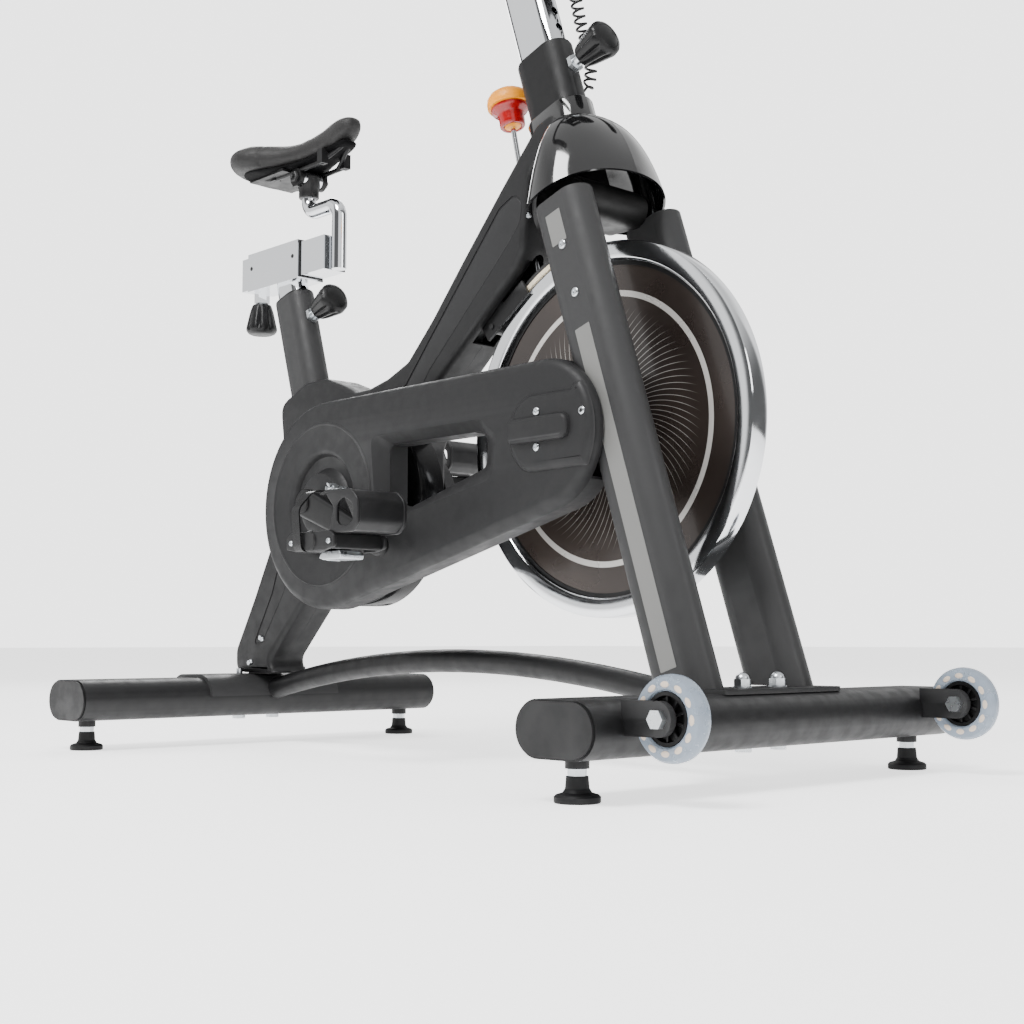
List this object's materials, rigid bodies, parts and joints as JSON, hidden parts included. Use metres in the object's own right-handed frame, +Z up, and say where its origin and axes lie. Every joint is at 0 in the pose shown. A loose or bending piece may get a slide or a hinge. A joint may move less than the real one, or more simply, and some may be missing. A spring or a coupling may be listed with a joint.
{
  "type": "exercise bike",
  "caption": "Indoor cycle with a rim-braked flywheel, enclosed belt drive, flat-oval frame, sliding saddle, adjustable posts, transport wheels and levelling feet.",
  "frame": {"origin": "on the floor, under the middle of the whole bike's length and width", "axes": "+X forward, from the saddle to the handlebar; +Y to the rider's left; +Z up"},
  "size_m": [1.1839, 0.64, 1.159],
  "materials": {
    "frame_paint": "fine textured satin black powder coat",
    "fork_paint": "fine textured matte charcoal powder coat",
    "chrome": "polished",
    "flywheel_edge": "turned and polished",
    "flywheel_face": "dark bronze lacquer with fine pale lines",
    "zinc": "zinc plated",
    "steel": "turned",
    "cover": "fine grained satin",
    "hood": "gloss black",
    "guard": "fine grained matte",
    "knob": "satin black, fluted",
    "red_knob": "gloss red with a yellow cap",
    "felt": "pressed felt",
    "saddle_skin": "fine grained vinyl",
    "nylon": "moulded nylon",
    "pulley": "machined",
    "crank": "satin black",
    "pedal": "satin black",
    "belt": "ribbed",
    "clear_tyre": "translucent urethane",
    "foot_rubber": "matte",
    "grip": "soft matte coating",
    "console_case": "satin black with a grey display",
    "cord": "satin"
  },
  "bodies": {
    "frame": {"rear_stabilizer": "frame_paint", "front_stabilizer": "frame_paint", "rear_base_plate": "frame_paint", "front_base_plate": "frame_paint", "frame_bolts": "zinc", "belly_tube": "frame_paint", "rear_leg": "frame_paint", "main_beam": "frame_paint", "seat_tube": "frame_paint", "head_tube": "frame_paint", "fork_leg_right": "fork_paint", "fork_leg_left": "fork_paint", "bottom_bracket": "frame_paint", "bearings": "steel", "body_cover_right": "cover", "body_cover_left": "cover", "head_shroud_right": "hood", "head_shroud_left": "hood", "belt_guard_outer": "guard", "belt_guard_inner": "guard", "crank_cover_left": "guard", "cover_screws": "zinc", "drive_belt": "belt", "post_bushes": "nylon", "pin_barrels": "zinc", "brake_bracket": "crank"},
    "flywheel": {"flywheel_rim": "flywheel_edge", "flywheel_disc": "flywheel_face", "flywheel_axle": "steel", "driven_pulley": "pulley"},
    "crankset": {"crank_axle": "steel", "drive_pulley": "pulley", "crank_arm_right": "crank", "crank_arm_left": "crank"},
    "right_pedal": {"pedal_right": "pedal", "toe_cage_right": "pedal"},
    "left_pedal": {"pedal_left": "pedal", "toe_cage_left": "pedal"},
    "right_transport_wheel": {"transport_wheel_right": "clear_tyre"},
    "left_transport_wheel": {"transport_wheel_left": "clear_tyre"},
    "seat_column": {"seat_post": "chrome", "slider_liner": "nylon"},
    "seat_carriage": {"seat_slider": "chrome"},
    "saddle": {"saddle_cushion": "saddle_skin", "saddle_base": "nylon"},
    "seat_post_pin": {"seat_post_knob": "knob"},
    "slider_pin": {"slider_knob": "knob"},
    "bar_post_pin": {"bar_post_knob": "knob"},
    "brake_push_rod": {"resistance_rod": "chrome"},
    "resistance_dial": {"resistance_knob": "red_knob"},
    "brake_lever": {"brake_arm": "crank", "brake_pad": "felt"},
    "handlebar_column": {"bar_post": "chrome", "handlebar": "grip", "console": "console_case", "console_cord": "cord"},
    "rear_right_foot": {"foot_rear_right": "foot_rubber"},
    "rear_left_foot": {"foot_rear_left": "foot_rubber"},
    "front_right_foot": {"foot_front_right": "foot_rubber"},
    "front_left_foot": {"foot_front_left": "foot_rubber"}
  },
  "joints": [
    {"name": "flywheel_spin", "type": "hinge", "parent": "frame", "child": "flywheel", "pos_m": [0.2287, 0, 0.4131], "axis": [0, 1, 0], "continuous": true},
    {"name": "crank_spin", "type": "hinge", "parent": "frame", "child": "crankset", "pos_m": [-0.201, 0, 0.3415], "axis": [0, 1, 0], "continuous": true},
    {"name": "right_pedal_spin", "type": "hinge", "parent": "crankset", "child": "right_pedal", "pos_m": [-0.04338, -0.209, 0.27782], "axis": [0, 1, 0], "continuous": true},
    {"name": "left_pedal_spin", "type": "hinge", "parent": "crankset", "child": "left_pedal", "pos_m": [-0.35862, 0.209, 0.40518], "axis": [0, 1, 0], "continuous": true},
    {"name": "right_wheel_spin", "type": "hinge", "parent": "frame", "child": "right_transport_wheel", "pos_m": [0.55, -0.258, 0.083], "axis": [0, 1, 0], "continuous": true},
    {"name": "left_wheel_spin", "type": "hinge", "parent": "frame", "child": "left_transport_wheel", "pos_m": [0.55, 0.258, 0.083], "axis": [0, 1, 0], "continuous": true},
    {"name": "seat_height", "type": "slide", "parent": "frame", "child": "seat_column", "axis": [-0.2924, 0, 0.9563], "range_m": [-0.01, 0.1]},
    {"name": "seat_fore_aft", "type": "slide", "parent": "seat_column", "child": "seat_carriage", "axis": [1, 0, 0], "range_m": [-0.045, 0.045]},
    {"name": "saddle_tilt", "type": "hinge", "parent": "seat_carriage", "child": "saddle", "pos_m": [-0.406, 0, 0.866], "axis": [0, 1, 0], "range_deg": [-10, 10]},
    {"name": "seat_post_pin_pull", "type": "slide", "parent": "frame", "child": "seat_post_pin", "axis": [0.9563, 0, 0.2924], "range_m": [0, 0.01], "stiffness_N_per_m": 800, "springref_m": -0.004},
    {"name": "slider_pin_pull", "type": "slide", "parent": "seat_column", "child": "slider_pin", "axis": [0, 0, -1], "range_m": [0, 0.01], "stiffness_N_per_m": 800, "springref_m": -0.004},
    {"name": "bar_post_pin_pull", "type": "slide", "parent": "frame", "child": "bar_post_pin", "axis": [0.9511, 0, 0.309], "range_m": [0, 0.01], "stiffness_N_per_m": 800, "springref_m": -0.004},
    {"name": "brake_push", "type": "slide", "parent": "frame", "child": "brake_push_rod", "axis": [0.2226, 0, -0.9749], "range_m": [0, 0.0011], "stiffness_N_per_m": 6000, "springref_m": -0.002},
    {"name": "resistance_turn", "type": "hinge", "parent": "brake_push_rod", "child": "resistance_dial", "pos_m": [0.056, 0, 0.834], "axis": [-0.2226, 0, 0.9749], "range_deg": [-720, 720]},
    {"name": "brake_lever_turn", "type": "hinge", "parent": "frame", "child": "brake_lever", "pos_m": [0.035, 0, 0.567], "axis": [0, 1, 0], "range_deg": [0, 0.78782]},
    {"name": "handlebar_height", "type": "slide", "parent": "frame", "child": "handlebar_column", "axis": [-0.309, 0, 0.9511], "range_m": [-0.05, 0.1], "deforming": ["console_cord"]},
    {"name": "rear_right_foot_screw", "type": "slide", "parent": "frame", "child": "rear_right_foot", "axis": [0, 0, -1], "range_m": [0, 0.012]},
    {"name": "rear_left_foot_screw", "type": "slide", "parent": "frame", "child": "rear_left_foot", "axis": [0, 0, -1], "range_m": [0, 0.012]},
    {"name": "front_right_foot_screw", "type": "slide", "parent": "frame", "child": "front_right_foot", "axis": [0, 0, -1], "range_m": [0, 0.012]},
    {"name": "front_left_foot_screw", "type": "slide", "parent": "frame", "child": "front_left_foot", "axis": [0, 0, -1], "range_m": [0, 0.012]}
  ],
  "couplings": [
    {"joint": "crank_spin", "follows": "flywheel_spin", "ratio": 0.30357},
    {"joint": "brake_lever_turn", "follows": "brake_push", "rad_per_m": 12.5}
  ]
}
